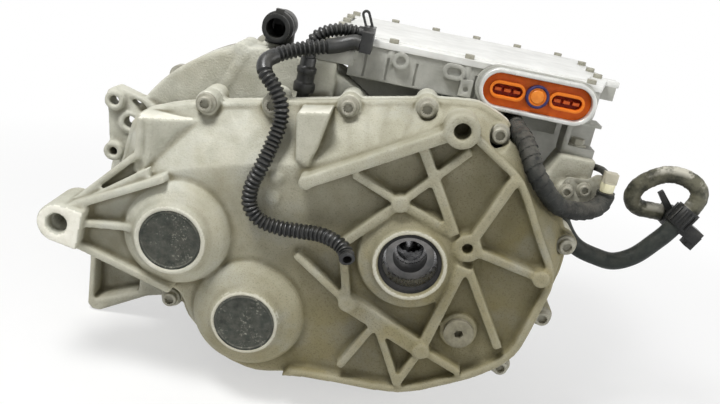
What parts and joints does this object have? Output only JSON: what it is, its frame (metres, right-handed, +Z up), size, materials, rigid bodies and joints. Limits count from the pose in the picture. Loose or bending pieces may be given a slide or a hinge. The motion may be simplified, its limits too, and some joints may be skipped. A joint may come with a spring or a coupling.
{
  "type": "electric drive unit",
  "caption": "Electric drive unit: ribbed cast gear cover with output ring and bearing caps, motor housing behind, inverter on top with an orange high-voltage socket, hoses and harness.",
  "frame": {"origin": "on the output axis, at the front face of the gear cover's output ring", "axes": "+Z up, +Y along the shafts from the gear cover to the motor, +X to the right as seen from the cover"},
  "size_m": [0.631, 0.3836, 0.3868],
  "materials": {
    "cast_aluminium": "sand cast, dusty",
    "motor_casting": "die cast",
    "inverter_casting": "die cast",
    "lid_plate": "bright milled",
    "cap_plastic": "dusty",
    "plated_steel": "zinc plated, weathered",
    "gear_steel": "ground",
    "case_iron": "machined",
    "lamination_steel": "stacked sheet",
    "winding_copper": "enamelled copper",
    "seal_rubber": "matt",
    "hose_plastic": "corrugated",
    "black_plastic": "satin",
    "tape_black": "wrapped cloth tape",
    "lead_rubber": "dusty",
    "spigot_metal": "turned",
    "shell_metal": "bright cast",
    "orange_plastic": "moulded",
    "contact_metal": "silver-plated blades in shade",
    "violet_plastic": "moulded",
    "cream_plastic": "moulded",
    "capacitor_resin": "potted",
    "board_green": "lacquered"
  },
  "bodies": {
    "housing": {"gear_cover": "cast_aluminium", "cover_gasket": "seal_rubber", "gear_housing": "cast_aluminium", "motor_housing": "motor_casting", "motor_end_cover": "motor_casting", "bearing_cap_upper": "cap_plastic", "bearing_cap_lower": "cap_plastic", "cover_bolts": "plated_steel", "dowel_pins": "plated_steel", "drain_plug": "plated_steel", "end_cover_bolts": "plated_steel", "motor_flange_bolts": "plated_steel", "output_seal_front": "seal_rubber", "output_seal_rear": "seal_rubber", "motor_bearing_outers": "gear_steel", "layshaft_bearing_outers": "gear_steel", "diff_bearing_outers": "gear_steel", "stator_core": "lamination_steel", "stator_windings": "winding_copper", "inverter_case": "inverter_casting", "inverter_lid": "lid_plate", "lid_screws": "plated_steel", "inverter_bolts": "plated_steel", "dc_capacitor": "capacitor_resin", "power_module": "capacitor_resin", "control_board": "board_green", "hv_shell": "shell_metal", "hv_insert": "orange_plastic", "hv_contacts": "contact_metal", "hv_lock_ring": "violet_plastic", "hv_lock_cap": "orange_plastic", "coolant_stub": "spigot_metal", "coolant_elbow": "black_plastic", "breather_fitting": "hose_plastic", "breather_link": "hose_plastic", "hose_joint": "hose_plastic", "breather_hose": "hose_plastic", "signal_harness": "tape_black", "harness_plug": "cream_plastic", "harness_bracket": "plated_steel", "bracket_bolts": "plated_steel", "power_lead": "lead_rubber", "lead_gland": "black_plastic", "lead_plug": "black_plastic"},
    "rotor": {"input_shaft": "gear_steel", "input_pinion": "gear_steel", "rotor_core": "lamination_steel", "motor_bearing_inners": "gear_steel"},
    "layshaft_set": {"layshaft": "gear_steel", "layshaft_wheel": "gear_steel", "layshaft_pinion": "gear_steel", "layshaft_bearing_inners": "gear_steel"},
    "differential": {"diff_case": "case_iron", "ring_gear": "gear_steel", "cross_pin": "gear_steel", "diff_bearing_inners": "gear_steel"},
    "front_side_gear": {"side_gear_front": "gear_steel"},
    "rear_side_gear": {"side_gear_rear": "gear_steel"},
    "upper_spider_gear": {"spider_gear_upper": "gear_steel"},
    "lower_spider_gear": {"spider_gear_lower": "gear_steel"}
  },
  "joints": [
    {"name": "differential_spin", "type": "hinge", "parent": "housing", "child": "differential", "pos_m": [0, 0.082, 0], "axis": [0, 1, 0], "continuous": true},
    {"name": "layshaft_spin", "type": "hinge", "parent": "housing", "child": "layshaft_set", "pos_m": [-0.13964, 0.082, -0.09068], "axis": [0, 1, 0], "continuous": true},
    {"name": "rotor_spin", "type": "hinge", "parent": "housing", "child": "rotor", "pos_m": [-0.21813, 0.082, -0.02245], "axis": [0, 1, 0], "continuous": true},
    {"name": "front_side_gear_spin", "type": "hinge", "parent": "differential", "child": "front_side_gear", "pos_m": [0, 0.082, 0], "axis": [0, 1, 0], "continuous": true},
    {"name": "rear_side_gear_spin", "type": "hinge", "parent": "differential", "child": "rear_side_gear", "pos_m": [0, 0.082, 0], "axis": [0, 1, 0], "continuous": true},
    {"name": "upper_spider_spin", "type": "hinge", "parent": "differential", "child": "upper_spider_gear", "pos_m": [0, 0.082, 0], "axis": [0, 0, 1], "continuous": true},
    {"name": "lower_spider_spin", "type": "hinge", "parent": "differential", "child": "lower_spider_gear", "pos_m": [0, 0.082, 0], "axis": [0, 0, 1], "continuous": true}
  ],
  "couplings": [
    {"joint": "layshaft_spin", "follows": "differential_spin", "ratio": -2.3636},
    {"joint": "rotor_spin", "follows": "differential_spin", "ratio": 7.0909},
    {"joint": "rear_side_gear_spin", "follows": "front_side_gear_spin", "ratio": -1},
    {"joint": "upper_spider_spin", "follows": "front_side_gear_spin", "ratio": 1.4},
    {"joint": "lower_spider_spin", "follows": "front_side_gear_spin", "ratio": -1.4}
  ]
}
